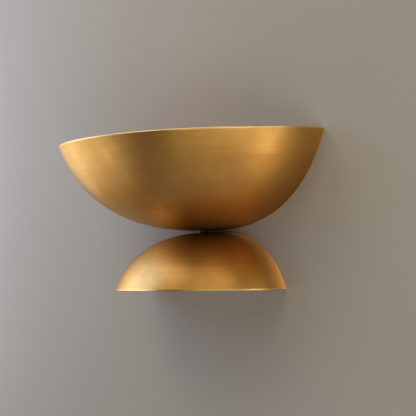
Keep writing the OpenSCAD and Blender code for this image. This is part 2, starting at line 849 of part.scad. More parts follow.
// Each pin is a hairpin loop of wire under the foot
module lamp_pins(level, lamp_y) {
    loop_r = pin_loop_w / 2;
    leg_l = pin_l - loop_r - pin_wire_d / 2;
    color(zinc)
        at_lamp(level, lamp_y)
            for (side = [-1, 1])
                translate([side * pin_spacing / 2, 0, -lamp_foot_l - leg_l]) {
                    for (leg = [-1, 1])
                        translate([leg * loop_r, 0, 0]) cylinder(d = pin_wire_d, h = leg_l, $fn = 16);
                    rotate([-90, 0, 0])
                        rotate_extrude(angle = 180, $fn = 32)
                            translate([loop_r, 0])
                                circle(d = pin_wire_d, $fn = 16);
                }
}

module lamp_strip(level, lamp_y) {
    color([1, 0.85, 0.45])
        at_lamp(level, lamp_y)
            translate([-core_w / 2, -core_d / 2, collar_h])
                cube([core_w, core_d, core_l]);
}

module grommet(level) {
    neck_r = grommet_neck_d / 2;
    rim_r = grommet_d / 2;
    bore_r = grommet_bore_d / 2;
    bevel = 0.5;
    back = wiring_d - grommet_rim;
    front = cover_front + grommet_rim;
    color([0.1, 0.1, 0.1])
        translate([grommet_x, -back, level + plate_t + lead_exit_h])
            rotate([90, 0, 0])
                rotate_extrude()
                    polygon([[bore_r, 0], [rim_r - bevel, 0], [rim_r, bevel], [rim_r, grommet_rim],
                        [neck_r, grommet_rim], [neck_r, grommet_rim + plate_t],
                        [rim_r, grommet_rim + plate_t], [rim_r, front - back - bevel],
                        [rim_r - bevel, front - back], [bore_r, front - back]]);
}

// Stations of a pair of leads from the holder's side, round a bend and out through the grommet
function lamp_stations(level, lamp_y, lift) =
    let (z = level + plate_t + lead_exit_h + lift, bend = grommet_x - holder_d / 2 - 4)
    [[holder_d / 2 - 1.5, -lamp_y, z],
        [holder_d / 2 + 1.5, -lamp_y, z],
        [grommet_x - bend, -lamp_y, z],
        [grommet_x - bend * 0.3, -lamp_y + bend * 0.3, z],
        [grommet_x, -lamp_y + bend, z],
        [grommet_x, -cover_front - grommet_rim, z],
        [grommet_x, -wiring_d + grommet_rim, z]];

// The same stations in the part's frame, above or below the waist
function above(p) = [for (q = p) [q.x, q.y, upper_z + q.z]];
function below(p) = [for (q = p) [q.x, q.y, lower_z - q.z]];

connector_mouth = -14;
lead_top = connector_mouth + connector_l * 0.4;
gap_x = lead_pitch / 2;

// Last stations of a lead, up into the mouth of the connector on one side
function into_connector(side, offset) =
    [[side * connector_x + offset, -nipple_y, connector_mouth],
        [side * connector_x + offset, -nipple_y, lead_top]];

module upper_live_lead() {
    z = upper_z + upper_level + plate_t + lead_exit_h + gap_x;
    color([0.08, 0.08, 0.08])
        lead(concat(
            above(lamp_stations(upper_level, upper_lamp_y, gap_x)),
            [[grommet_x + 1.5, -15, z + 1.2], [connector_x - gap_x - 1.2, -12, z + 6]],
            into_connector(1, -gap_x)));
}

module upper_neutral_lead() {
    z = upper_z + upper_level + plate_t + lead_exit_h - gap_x;
    color([0.92, 0.92, 0.9])
        lead(concat(
            above(lamp_stations(upper_level, upper_lamp_y, -gap_x)),
            [[grommet_x - 2, -16, z], [grommet_x - 8, -15.2, z], [0, -15.6, z + 1], [-15, -14.8, z + 2],
                [-connector_x + 3, -12.6, z + 6.5]],
            into_connector(-1, gap_x)));
}

// From the connector down past the strap and through the nipple
function down_the_nipple(side) =
    [[side * (connector_x + gap_x), -nipple_y, lead_top],
        [side * (connector_x + gap_x), -nipple_y, connector_mouth],
        [side * (connector_x - 0.5), -nipple_y + 1.5, connector_mouth - 8],
        [side * (connector_x - 10), -nipple_y + 3, connector_mouth - 13],
        [side * 9, -nipple_y + 2, nipple_top + 7.5],
        [side * 2.6, -nipple_y, nipple_top + 4.5],
        [side * gap_x, -nipple_y, nipple_top],
        [side * gap_x, -nipple_y, nipple_bottom]];

function backwards(p) = [for (i = [len(p) - 1 : -1 : 0]) p[i]];

module lower_live_lead() {
    color([0.08, 0.08, 0.08])
        lead(concat(
            down_the_nipple(1),
            [[gap_x + 1, -nipple_y - 0.5, nipple_bottom - 4],
                [gap_x + 6, -nipple_y - 1.5, nipple_bottom - 7.5],
                [gap_x + 14, -nipple_y - 3, lower_z - lower_level - plate_t - lead_exit_h + gap_x]],
            backwards(below(lamp_stations(lower_level, lower_lamp_y, -gap_x)))));
}

module lower_neutral_lead() {
    color([0.92, 0.92, 0.9])
        lead(concat(
            down_the_nipple(-1),
            [[-gap_x + 0.3, -nipple_y - 0.5, nipple_bottom - 5.5],
                [gap_x + 4, -nipple_y - 1.5, nipple_bottom - 10.2],
                [gap_x + 13, -nipple_y - 3, lower_z - lower_level - plate_t - lead_exit_h - gap_x]],
            backwards(below(lamp_stations(lower_level, lower_lamp_y, gap_x)))));
}

module upper_grommet() {
    upper() grommet(upper_level);
}

module lower_grommet() {
    lower() grommet(lower_level);
}

// Twist-on connector: a tapered cap with grip ribs and an open mouth
module wire_connectors() {
    mouth_r = connector_d / 2;
    tip_r = mouth_r * 0.55;
    color([0.85, 0.45, 0.1])
        for (side = [-1, 1])
            translate([side * connector_x, -nipple_y, connector_mouth])
                difference() {
                    union() {
                        rotate_extrude()
                            polygon([[0, 0], [mouth_r, 0], [mouth_r, 3], [mouth_r - 0.6, 3.6],
                                [tip_r, connector_l - 1], [tip_r - 1, connector_l], [0, connector_l]]);
                        for (i = [0 : 5])
                            rotate(i * 60)
                                translate([tip_r - 0.4, -0.6, 2])
                                    cube([mouth_r - tip_r + 0.2, 1.2, connector_l * 0.6]);
                    }
                    translate([0, 0, -cut]) cylinder(d = connector_bore_d, h = cut + connector_l * 0.6);
                }
}

module upper_lamp_bracket() {
    upper() lamp_bracket(upper_level, upper_lamp_y);
}

module upper_bracket_rivets() {
    upper() bracket_rivets(upper_level);
}

module upper_lamp_holder() {
    upper() lamp_holder(upper_level, upper_lamp_y);
}

module upper_holder_screws() {
    upper() holder_screws(upper_level, upper_lamp_y);
}

module upper_lamp_glass() {
    upper() lamp_glass(upper_level, upper_lamp_y);
}

module upper_lamp_foot() {
    upper() lamp_foot(upper_level, upper_lamp_y);
}

module upper_lamp_pins() {
    upper() lamp_pins(upper_level, upper_lamp_y);
}

module upper_lamp_strip() {
    upper() lamp_strip(upper_level, upper_lamp_y);
}

module lower_lamp_bracket() {
    lower() lamp_bracket(lower_level, lower_lamp_y);
}

module lower_bracket_rivets() {
    lower() bracket_rivets(lower_level);
}

module lower_lamp_holder() {
    lower() lamp_holder(lower_level, lower_lamp_y);
}

module lower_holder_screws() {
    lower() holder_screws(lower_level, lower_lamp_y);
}

module lower_lamp_glass() {
    lower() lamp_glass(lower_level, lower_lamp_y);
}

module lower_lamp_foot() {
    lower() lamp_foot(lower_level, lower_lamp_y);
}

module lower_lamp_pins() {
    lower() lamp_pins(lower_level, lower_lamp_y);
}

module lower_lamp_strip() {
    lower() lamp_strip(lower_level, lower_lamp_y);
}

upper_bowl();
lower_dome();
upper_back_cover();
lower_back_cover();
upper_bowl_lugs();
lower_dome_lugs();
upper_lug_screws();
lower_lug_screws();
waist_spacer();
waist_nipple();
nipple_bushings();
waist_washers();
waist_nuts();
mounting_strap();
mounting_studs();
stud_lock_nuts();
cap_nuts();
strap_ground_screw();
cover_ground_screw();
ring_terminals();
ground_wire();
upper_lamp_bracket();
upper_bracket_rivets();
upper_lamp_holder();
upper_holder_screws();
upper_lamp_glass();
upper_lamp_foot();
upper_lamp_pins();
upper_lamp_strip();
lower_lamp_bracket();
lower_bracket_rivets();
lower_lamp_holder();
lower_holder_screws();
lower_lamp_glass();
lower_lamp_foot();
lower_lamp_pins();
lower_lamp_strip();
upper_grommet();
lower_grommet();
upper_live_lead();
upper_neutral_lead();
lower_live_lead();
lower_neutral_lead();
wire_connectors();
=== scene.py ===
"""Finishes, fine shapes and studio for a brass up and down wall light.

Lengths are metres in the frame of the construction model: the wall plane is y = 0, the room lies on
the -Y side, +Z is up and the origin is the middle of the mounting strap.
"""
import json
import math

import bmesh
import bpy
import numpy as np
from bpy.props import FloatProperty, FloatVectorProperty, IntProperty, PointerProperty
from mathutils import Matrix, Vector


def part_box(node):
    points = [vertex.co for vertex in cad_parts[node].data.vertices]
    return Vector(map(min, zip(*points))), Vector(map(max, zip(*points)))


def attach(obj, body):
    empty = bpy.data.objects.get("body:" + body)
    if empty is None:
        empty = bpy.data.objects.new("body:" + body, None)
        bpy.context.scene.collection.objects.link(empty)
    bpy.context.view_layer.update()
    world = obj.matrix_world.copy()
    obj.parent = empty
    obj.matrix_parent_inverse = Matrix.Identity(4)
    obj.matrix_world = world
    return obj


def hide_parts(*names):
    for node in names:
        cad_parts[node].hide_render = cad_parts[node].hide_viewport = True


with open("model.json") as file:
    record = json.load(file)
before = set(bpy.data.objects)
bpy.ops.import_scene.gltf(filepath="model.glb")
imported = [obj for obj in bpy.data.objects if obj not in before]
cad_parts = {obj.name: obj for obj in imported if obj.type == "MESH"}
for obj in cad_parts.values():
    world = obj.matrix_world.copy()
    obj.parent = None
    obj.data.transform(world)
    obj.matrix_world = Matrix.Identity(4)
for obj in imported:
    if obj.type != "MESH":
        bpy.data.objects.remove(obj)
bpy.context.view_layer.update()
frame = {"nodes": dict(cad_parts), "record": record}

bl_info = {
    "name": "Half Bowl Wall Light",
    "version": (1, 0, 0),
    "blender": (4, 5, 0),
    "location": "3D View > Sidebar > Wall Light",
    "description": "Brass half bowls, lamps, leads and studio for an up and down wall light",
    "category": "Add Mesh",
}

MM = 0.001
WHITE = (1.0, 1.0, 1.0)
FIXTURE = "fixture"
BOWL_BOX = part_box("upper_bowl")
DOME_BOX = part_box("lower_dome")
NIPPLE_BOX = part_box("waist_nipple")
WASHER_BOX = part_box("waist_washers")
STUD_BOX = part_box("mounting_studs")
BOWL_Z = BOWL_BOX[0].z
DOME_Z = DOME_BOX[1].z
WAIST_Z = (BOWL_Z + DOME_Z) / 2

# How far a tone of the brass reaches: wear and a painted highlight from the rim, painted
# black shade in the gap and umber patina with painted shade from the waist.
WORN_HIGHLIGHT_REACH = 4 * MM
GAP_SHADE_REACH = 7 * MM
UMBER_SHADE_REACH = 75 * MM
# Depth of the brushing, and distance between the chips under a lamp's strip.
BRUSH_RELIEF = 0.02 * MM
CHIP_PITCH = 2.2 * MM

# Rows of a shell's profile over its rim and along its flat, and points of the outline's table.
RIM_ROWS = 9
FLAT_ROWS = 6
FINE_ROWS = 2000
# Place of the pads in the shells' map, clear of the shells.
PAD_MAP = 0.5
MERGE_DISTANCE = 1e-7
SHARP_ANGLE = math.radians(32)

# A thread's depth is a share of its pitch.
THREAD_DEPTH = 0.54
THREAD_ROWS_PER_TURN = 8
THREAD_SHARP_ANGLE = math.radians(40)

# Angles up to which a lead's triangles are joined into quads, and levels of their subdivision.
LEAD_MERGE_DISTANCE = 1e-6
LEAD_FACE_ANGLE = math.radians(40)
LEAD_SHAPE_ANGLE = math.radians(60)
LEAD_ROUNDING = 2

# What the soft panels face, and their tones.
STUDIO_MIDDLE = (0.0, -0.07, -0.03)
COOL, PLAIN, WARM = (0.70, 1.04, 1.75), (0.98, 1.0, 0.98), (1.04, 1.0, 0.80)
# Name, azimuth, elevation, distance, width, height, radiance and tone of each soft panel.
PANELS = (
    ("left_high", 28, 18, 1.15, 0.7, 0.7, 2.8, COOL),
    ("left_low", 28, -18, 1.15, 0.7, 0.7, 1.0, PLAIN),
    ("left_near", 8, 2, 0.71, 0.34, 0.5, 1.4, PLAIN),
    ("left_front", 46, -16, 1.15, 0.5, 0.34, 1.1, WARM),
    ("top_left", 46, 52, 1.15, 0.7, 0.7, 3.2, WARM),
    ("top_right", 115, 52, 1.15, 0.7, 0.7, 2.2, WARM),
    ("front_high", 95, 20, 1.15, 0.5, 0.34, 0.8, WARM),
    ("front_low", 115, -18, 1.15, 0.7, 0.7, 0.95, WARM),
    ("right_front", 145, -16, 1.15, 0.5, 0.34, 4.1, PLAIN),
    ("right_high", 170, 20, 1.15, 0.5, 0.34, 2.9, WARM),
    ("right_low", 174, -42, 1.3, 0.4, 0.6, 4.0, WARM),
)
# Name, azimuth, elevation, distance, width and height of the light behind.
REAR_PANEL = ("rear_light", 250, 22, 1.8, 1.2, 1.2)
# Tone of the dim room.
ROOM_TONE = (1.0, 0.82, 0.64)


def srgb(red, green, blue):
    """Linear colour of an 8 bit screen colour."""
    def linear(level):
        share = level / 255
        return share / 12.92 if share <= 0.04045 else ((share + 0.055) / 1.055) ** 2.4

    return linear(red), linear(green), linear(blue)


def colour(name, text, red, green, blue):
    """A colour property with its default given as a screen colour."""
    return FloatVectorProperty(
        name=name, description=text, subtype="COLOR", size=3, min=0.0, max=1.0,
        default=srgb(red, green, blue),
    )


def length(name, text, metres):
    """A length property in metres."""
    return FloatProperty(
        name=name, description=text, default=metres, min=0.0, unit="LENGTH", precision=4)


class ShellSizes(bpy.types.PropertyGroup):
    """Sizes of the two spun half bowls."""

    upper_half_width: length(
        "Upper half width", "Half the width of the upper bowl's rim", BOWL_BOX[1].x)
    upper_out: length(
        "Upper depth", "How far the upper bowl stands out from the wall", -BOWL_BOX[0].y)
    upper_height: length(
        "Upper height", "Height of the upper bowl over the waist", BOWL_BOX[1].z - BOWL_Z)
    lower_half_width: length(
        "Lower half width", "Half the width of the lower dome's rim", DOME_BOX[1].x)
    lower_out: length(
        "Lower depth", "How far the lower dome stands out from the wall", -DOME_BOX[0].y)
    lower_height: length(
        "Lower height", "Height of the lower dome under the waist", DOME_Z - DOME_BOX[0].z)
    sheet: length("Sheet", "Thickness of the spun brass sheet", 1.5 * MM)
    waist_flat: length("Waist flat", "Half width of the flat at the waist of each half", 12 * MM)
    pad: length("Pad", "Height of the pad under each clamped bracket", 2.55 * MM)
    pad_bore: length("Pad bore", "Radius of the nipple's hole in the pad", 5.1 * MM)
    roundness: FloatProperty(
        name="Roundness", description="Power of the oval outline, where 2 is an ellipse",
        default=2.55)
    oval_depth: FloatProperty(
        name="Oval depth", description="Depth of the whole oval in bowl heights", default=2.05)
    rings: IntProperty(
        name="Rings", description="Rows along each side of a bowl's profile", default=84)
    columns: IntProperty(name="Columns", description="Columns round a half bowl", default=224)


class ThreadSizes(bpy.types.PropertyGroup):
    """Sizes of the cut threads on the nipple and the studs, and of the leads."""

    nipple_bore: length("Nipple bore", "Radius of the nipple's bore", 3.6 * MM)
    nipple_pitch: length("Nipple pitch", "Pitch of the nipple's thread", 1.0 * MM)
    stud_pitch: length("Stud pitch", "Pitch of the studs' thread", 0.7 * MM)
    stud_radius: length("Stud radius", "Outer radius of a stud's thread", 2.0 * MM)
    lead_swell: length(
        "Lead swell", "How far a lead's facets move out before they are rounded", 0.09 * MM)
    nipple_columns: IntProperty(
        name="Nipple columns", description="Columns round the nipple's thread", default=56)
    stud_columns: IntProperty(
        name="Stud columns", description="Columns round a stud's thread", default=32)


class FinishColours(bpy.types.PropertyGroup):
    """Colours of the metals, plastics, ceramic and stage."""

    brass: colour("Brass", "Brushed brass that hands and cloths keep bright", 216, 167, 89)
    patina: colour("Patina", "Brass that has darkened with age", 174, 114, 43)
    # Umber near the waist is patina and also painted shade of the region between the halves.
    umber: colour("Umber", "Deep brown patina near the waist", 150, 84, 22)
    # Painted shade: near black laid in the narrow gap at the waist, where shadow falls.
    gap_shade: colour("Grime", "Black tarnish in the narrow gap at the waist", 46, 24, 8)
    # Paler rim tone: partly wear, partly a painted highlight line along the rim.
    worn_and_highlight: colour("Worn edge", "Bare brass along the handled rim", 246, 212, 146)
    turned_brass: colour("Turned brass", "Turned nuts and stamped lugs", 222, 184, 110)
    zinc: colour("Zinc", "Zinc plated steel", 196, 199, 203)
    nickel: colour("Nickel", "Drawn nickel wire", 200, 195, 186)
    ground_green: colour("Ground green", "Dyed ground screws and the ground lead", 24, 120, 58)
    steatite: colour("Steatite", "Unglazed ceramic", 236, 230, 216)
    phosphor: colour("Phosphor", "Coating over the light strip", 255, 214, 120)
    black: colour("Black", "Black rubber and insulation", 30, 30, 31)
    white: colour("White", "White insulation", 226, 225, 220)
    orange: colour("Orange", "Moulded wire connectors", 220, 116, 34)
    wall: colour("Wall", "Plain wall behind the light", 165, 155, 147)
    floor: colour("Floor", "Plain pale floor", 214, 212, 208)


class StageSettings(bpy.types.PropertyGroup):
    """Place of the camera and strength of the studio lights."""

    camera_place: FloatVectorProperty(
        name="Camera place", description="Where the camera stands", subtype="TRANSLATION",
        unit="LENGTH", default=(1.3160, -0.8775, -0.0855))
    camera_heading: FloatProperty(
        name="Heading", description="Turn of the view to the left of straight on to the wall",
        subtype="ANGLE", default=math.radians(56.512))
    camera_tilt: FloatProperty(
        name="Tilt", description="Upward tilt of the view", subtype="ANGLE",
        default=math.radians(2.32))
    camera_roll: FloatProperty(
        name="Roll", description="Roll of the view", subtype="ANGLE",
        default=math.radians(-0.946))
    camera_lens: FloatProperty(
        name="Lens", description="Focal length in millimetres", default=131.2)
    floor_level: FloatProperty(
        name="Floor level", description="Height of the floor", unit="LENGTH", default=-1.35)
    floor_reach: length("Floor reach", "How far the floor runs out from the wall", 3.2)
    half_wall: length("Half wall", "Half the width of the wall and the floor", 2.6)
    wall_top: length("Wall top", "Height of the wall's top over the strap's middle", 2.2)
    wall_gap: length("Wall gap", "Room between the wall light's back and the wall", 0.4 * MM)
    room_light: FloatProperty(
        name="Room light", description="Radiance of the dim room", default=0.03)
    studio_level: FloatProperty(
        name="Studio level", description="Strength of the soft panels", default=1.0)
    rear_level: FloatProperty(
        name="Rear level", description="Radiance of the light behind", default=9.0)


class Value:
    """One output of a material's node; arithmetic on it adds Math nodes."""

    def __init__(self, finish, socket):
        self.finish = finish
        self.socket = socket

    def __abs__(self):
        return self.finish.node("ShaderNodeMath", {"operation": "ABSOLUTE"}, {0: self})

    def math(self, operation, first, second):
        """Result of a Math node on two values or numbers."""
        return self.finish.node("ShaderNodeMath", {"operation": operation}, {0: first, 1: second})

    def __add__(self, other):
        return self.math("ADD", self, other)

    def __radd__(self, other):
        return self.math("ADD", other, self)

    def __sub__(self, other):
        return self.math("SUBTRACT", self, other)

    def __rsub__(self, other):
        return self.math("SUBTRACT", other, self)

    def __mul__(self, other):
        return self.math("MULTIPLY", self, other)

    def __rmul__(self, other):
        return self.math("MULTIPLY", other, self)


class Finish:
    """A material's node tree, with one method that adds any node and a few short forms of it."""

    def __init__(self, name):
        self.material = bpy.data.materials.new(name)
        self.material.use_nodes = True
        self.tree = self.material.node_tree
        self.tree.nodes.clear()
        self.place = self.node("ShaderNodeTexCoord", out="Object")

    def node(self, kind, settings=None, values=None, out=0):
        """Adds a node, with its settings first and then the values or links of its sockets."""
        node = self.tree.nodes.new(kind)
        for key, setting in (settings or {}).items():
            if key == "stops":
                self.set_stops(node.color_ramp, setting)
            else:
                setattr(node, key, setting)
        for key, value in (values or {}).items():
            if isinstance(value, Value):
                self.tree.links.new(value.socket, node.inputs[key])
            else:
                node.inputs[key].default_value = value
        return Value(self, node.outputs[out]) if node.outputs else None

    def set_stops(self, ramp, stops):
        """Gives a ramp its stops, each a position and a level of grey."""
        while len(ramp.elements) < len(stops):
            ramp.elements.new(1.0)
        for element, (position, level) in zip(ramp.elements, stops):
            element.position = position
            element.color = (level, level, level, 1.0)

    def noise(self, stretch, detail=3.0, roughness=0.5, where=None):
        """Noise with its own number of waves per metre along each axis."""
        scaled = self.node(
            "ShaderNodeVectorMath", {"operation": "MULTIPLY"}, {0: where or self.place, 1: stretch})
        return self.node(
            "ShaderNodeTexNoise", {},
            {"Vector": scaled, "Scale": 1.0, "Detail": detail, "Roughness": roughness}, out="Fac")

    def ramp(self, value, *stops):
        """A level that follows the value through the stops."""
        return self.node("ShaderNodeValToRGB", {"stops": stops}, {"Fac": value})

    def mix(self, factor, first, second):
        """Colour between the first, at factor 0, and the second, at 1."""
        pair = [c if isinstance(c, Value) else (*c, 1.0) for c in (first, second)]
        return self.node(
            "ShaderNodeMix", {"data_type": "RGBA"}, {0: factor, 6: pair[0], 7: pair[1]}, out=2)

    def bump(self, height, distance, strength):
        """Normal of a surface with that height."""
        return self.node(
            "ShaderNodeBump", {}, {"Height": height, "Distance": distance, "Strength": strength})

    def axis(self, place, letter):
        """One coordinate of a place."""
        return self.node("ShaderNodeSeparateXYZ", {}, {"Vector": place}, out=letter)

    def principled(self, values):
        """Ends the material in a Principled shader with these sockets."""
        opaque = {
            key: (*value, 1.0) if isinstance(value, tuple) else value
            for key, value in values.items()
        }
        return self.end(self.node("ShaderNodeBsdfPrincipled", {}, opaque))

    def end(self, shader):
        """Ends the material in a shader."""
        self.node("ShaderNodeOutputMaterial", {}, {"Surface": shader})
        return self.material


def paled(tone, share):
    """A colour moved towards white by the share."""
    return tuple(level + (1.0 - level) * share for level in tone)


def dimmed(tone, share):
    """A colour scaled down by the share."""
    return tuple(level * (1.0 - share) for level in tone)


def brushed_brass(colours):
    """Aged brass, spun and brushed round the bowl, darkened near the waist by patina and painted
    shade.

    The shell's own map runs along the brushing in u and, from the middle of the rim, along the
    profile in v, both in metres. Handling has smoothed the rim, and its paler tone is partly wear
    and partly a painted highlight line; the narrow gap at the waist holds painted shade.
    """
    finish = Finish("aged_brushed_brass")
    over = finish.node("ShaderNodeUVMap", {"uv_map": "brushing"})
    hairlines = finish.noise((9.0, 2600.0, 1.0), detail=2.0, where=over)
    strokes = finish.noise((5.0, 620.0, 1.0), detail=3.0, roughness=0.6, where=over)
    bands = finish.noise((3.0, 60.0, 1.0), detail=2.0, where=over)
    clouds = finish.noise((16.0, 16.0, 20.0), detail=4.0, roughness=0.55)
    mottle = finish.noise((70.0, 70.0, 90.0), detail=3.0, roughness=0.6)
    from_rim = abs(finish.axis(over, "Y"))
    # Wear and painted highlight: a paler, smoother band along the rim.
    worn_and_highlight = finish.ramp(
        from_rim * (1 / WORN_HIGHLIGHT_REACH) + (strokes - 0.5) * 0.3, (0.25, 1.0), (0.55, 0.0))
    from_waist = abs(finish.axis(finish.place, "Z") - WAIST_Z)
    # Umber towards the waist: partly patina, partly painted shade of the occluded region between
    # the halves.
    waist_umber_and_shade = finish.ramp(
        from_waist * (1 / UMBER_SHADE_REACH), (0.0, 1.0), (0.45, 0.65), (1.0, 0.0))
    age = finish.ramp(
        clouds * 0.62 + mottle * 0.22 + bands * 0.16 + (strokes - 0.5) * 0.16,
        (0.34, 0.0), (0.66, 1.0))
    tone = finish.mix(age * 0.55 + 0.1, colours.brass, colours.patina)
    # Patina and painted shade: umber mixed in towards the waist.
    tone = finish.mix(waist_umber_and_shade * 0.62, tone, colours.umber)
    scratches = (strokes - 0.35) * 0.14 + (hairlines - 0.5) * 0.1
    tone = finish.mix(scratches, tone, dimmed(colours.umber, 0.35))
    # Paler rim: wear and a painted highlight line.
    tone = finish.mix(worn_and_highlight * 0.6, tone, colours.worn_and_highlight)
    # Painted shade: the narrow gap at the waist is darkened towards black, as shadow between the
    # halves.
    gap = finish.ramp(
        from_waist * (1 / GAP_SHADE_REACH) + (clouds - 0.5) * 0.2, (0.15, 1.0), (0.9, 0.0))
    tone = finish.mix(gap * 0.85, tone, colours.gap_shade)
    grain = (hairlines - 0.5) * 0.10 + (strokes - 0.5) * 0.06
    relief = hairlines * 0.6 + strokes * 0.4
    return finish.principled({
        "Base Color": tone,
        "Metallic": 1.0,
        "Roughness": 0.41 + gap * 0.15 + age * 0.08 + grain - worn_and_highlight * 0.14,
        "Anisotropic": 0.62,
        "Anisotropic Rotation": 0.25,
        "Specular Tint": (1.0, 0.84, 0.52),
        "Coat Weight": 0.32,
        "Coat Roughness": 0.3,
        "Normal": finish.bump(relief, distance=BRUSH_RELIEF, strength=0.35),
    })


def turned_brass(colours):
    """Turned or stamped brass with fine tool marks and tarnish in its hollows."""
    finish = Finish("turned_brass")
    marks = finish.noise((900.0, 260.0, 900.0), detail=2.0)
    cloud = finish.noise((140.0, 140.0, 140.0), detail=4.0, roughness=0.6)
    tarnish = finish.ramp(cloud, (0.4, 0.0), (0.75, 1.0))
    tone = finish.mix(tarnish * 0.6, colours.turned_brass, colours.patina)
    return finish.principled({
        "Base Color": tone,
        "Metallic": 1.0,
        "Roughness": 0.22 + tarnish * 0.2 + (marks - 0.5) * 0.1,
        "Normal": finish.bump(marks, distance=0.02 * MM, strength=0.3),
    })


def plated_steel(name, tone, stain):
    """Plated steel: a cloudy, faintly tinted plating over fine rolling marks."""
    finish = Finish(name)
    rolling = finish.noise((60.0, 900.0, 1400.0), detail=2.0)
    crystals = finish.node(
        "ShaderNodeTexVoronoi", {}, {"Vector": finish.place, "Scale": 420.0}, out="Color")
    grain = finish.node("ShaderNodeSeparateColor", {}, {"Color": crystals}, out="Red")
    cloud = finish.ramp(
        finish.noise((45.0, 45.0, 45.0), detail=4.0, roughness=0.6), (0.35, 0.0), (0.7, 1.0))
    base = finish.mix(cloud * 0.32 + (grain - 0.5) * 0.1 + 0.1, tone, stain)
    return finish.principled({
        "Base Color": base,
        "Metallic": 1.0,
        "Roughness": 0.36 + cloud * 0.08 + (grain - 0.5) * 0.08 + (rolling - 0.5) * 0.08,
        "Normal": finish.bump(rolling * 0.7 + grain * 0.3, distance=0.02 * MM, strength=0.3),
    })


def moulded(name, tone, roughness, grain, dust=0.06):
    """Moulded plastic, rubber or insulation: a fine surface grain with a little dust."""
    finish = Finish(name)
    fine = finish.noise((grain, grain, grain), detail=3.0, roughness=0.6)
    cloud = finish.noise((90.0, 90.0, 90.0), detail=4.0)
    film = finish.ramp(cloud, (0.35, 0.0), (0.75, 1.0))
    base = finish.mix(film * dust + (fine - 0.5) * 0.08, tone, paled(tone, 0.5))
    return finish.principled({
        "Base Color": base,
        "Roughness": roughness + film * 0.12 + (fine - 0.5) * 0.1,
        "Normal": finish.bump(fine, distance=0.04 * MM, strength=0.35),
    })


def steatite(colours):
    """Unglazed pressed ceramic with a sandy grain, pinholes and warm firing clouds."""
    finish = Finish("steatite")
    pit_tone = srgb(150, 132, 108)
    sand = finish.noise((1500.0, 1500.0, 1500.0), detail=3.0, roughness=0.7)
    pits = finish.ramp(finish.noise((520.0, 520.0, 520.0), detail=2.0), (0.66, 0.0), (0.72, 1.0))
    firing = finish.noise((60.0, 60.0, 110.0), detail=4.0)
    tone = finish.mix(firing * 0.5, colours.steatite, dimmed(colours.steatite, 0.14))
    tone = finish.mix(pits * 0.35, tone, pit_tone)
    return finish.principled({
        "Base Color": tone,
        "Roughness": 0.58 + sand * 0.2,
        "Normal": finish.bump(sand * 0.5 - pits * 0.5, distance=0.06 * MM, strength=0.5),
    })


def clear_glass():
    """Thin clear glass: see through, with gloss and a faint film of handling marks."""
    finish = Finish("clear_glass")
    clean, smeared = (0.93, 0.95, 0.95), (0.86, 0.86, 0.84)
    film = finish.ramp(
        finish.noise((120.0, 120.0, 70.0), detail=4.0, roughness=0.6), (0.4, 0.0), (0.8, 1.0))
    return finish.principled({
        "Base Color": finish.mix(film, clean, smeared),
        "Roughness": 0.03 + film * 0.12,
        "Alpha": 0.16 + film * 0.08,
        "IOR": 1.47,
    })


def phosphor_strip(colours):
    """Phosphor over a row of chips, brightest over each chip along the strip's height."""
    finish = Finish("phosphor_strip")
    height = finish.axis(finish.place, "Z")
    wave = height.math("PINGPONG", height, CHIP_PITCH / 2)
    chip = finish.ramp(wave * (2 / CHIP_PITCH), (0.15, 0.35), (0.6, 1.0))
    grain = finish.noise((1400.0, 1400.0, 1400.0), detail=2.0)
    glow = finish.mix(chip, dimmed(colours.phosphor, 0.45), paled(colours.phosphor, 0.25))
    return finish.principled({
        "Base Color": finish.mix(grain * 0.4, colours.phosphor, dimmed(colours.phosphor, 0.3)),
        "Roughness": 0.55 + (grain - 0.5) * 0.2,
        "Emission Color": glow,
        "Emission Strength": 6.0,
        "Normal": finish.bump(grain, distance=0.05 * MM, strength=0.4),
    })


def make_finishes(colours):
    """Materials by the name of the record's material slot."""
    zinc_stain = srgb(168, 166, 150)
    dark_zinc = dimmed(colours.zinc, 0.3)
    dark_green = dimmed(colours.ground_green, 0.5)
    return {
        "aged_brass": brushed_brass(colours),
        "bright_brass": turned_brass(colours),
        "zinc_steel": plated_steel("zinc_plate", colours.zinc, zinc_stain),
        "pin_wire": plated_steel("nickel_wire", colours.nickel, dark_zinc),
        "green_screw": plated_steel("green_dyed_zinc", colours.ground_green, dark_green),
        "ceramic": steatite(colours),
        "lamp_glass": clear_glass(),
        "light_strip": phosphor_strip(colours),
        # On the spacer at the waist this black is partly painted shade in the gap between the
        # halves.
        "black_plastic": moulded("black_nylon", colours.black, roughness=0.42, grain=1800.0),
        "black_rubber": moulded(
            "black_rubber", dimmed(colours.black, 0.2), roughness=0.62, grain=900.0, dust=0.14),
        "black_lead": moulded("black_insulation", colours.black, roughness=0.38, grain=700.0),
        "white_lead": moulded("white_insulation", colours.white, roughness=0.4, grain=700.0),
        "green_lead": moulded(
            "green_insulation", colours.ground_green, roughness=0.4, grain=700.0),
        "orange_plastic": moulded("orange_nylon", colours.orange, roughness=0.36, grain=1200.0),
    }


FINISHES = {}


def finish_of(context, slot):
    """The material of a slot of the record. All are made together, on first use."""
    if slot not in FINISHES:
        FINISHES.update(make_finishes(context.scene.wall_light_colours))
    return FINISHES[slot]


def grid_faces(rows, columns, wrap_rows=False, wrap_columns=False):
    """Corner indices of the quads of a grid whose vertices are stored row by row."""
    row = np.arange(rows if wrap_rows else rows - 1)[:, None]
    column = np.arange(columns if wrap_columns else columns - 1)[None, :]
    next_row = (row + 1) % rows
    next_column = (column + 1) % columns
    return np.stack([
        row * columns + column, row * columns + next_column,
        next_row * columns + next_column, next_row * columns + column], -1).reshape(-1, 4)


def joined(*forms):
    """One set of points, quads and map places out of several."""
    starts = np.cumsum([0] + [len(points) for points, _, _ in forms[:-1]])
    return (
        np.concatenate([points for points, _, _ in forms]),
        np.concatenate([faces + start for (_, faces, _), start in zip(forms, starts)]),
        np.concatenate([uv for _, _, uv in forms]),
    )


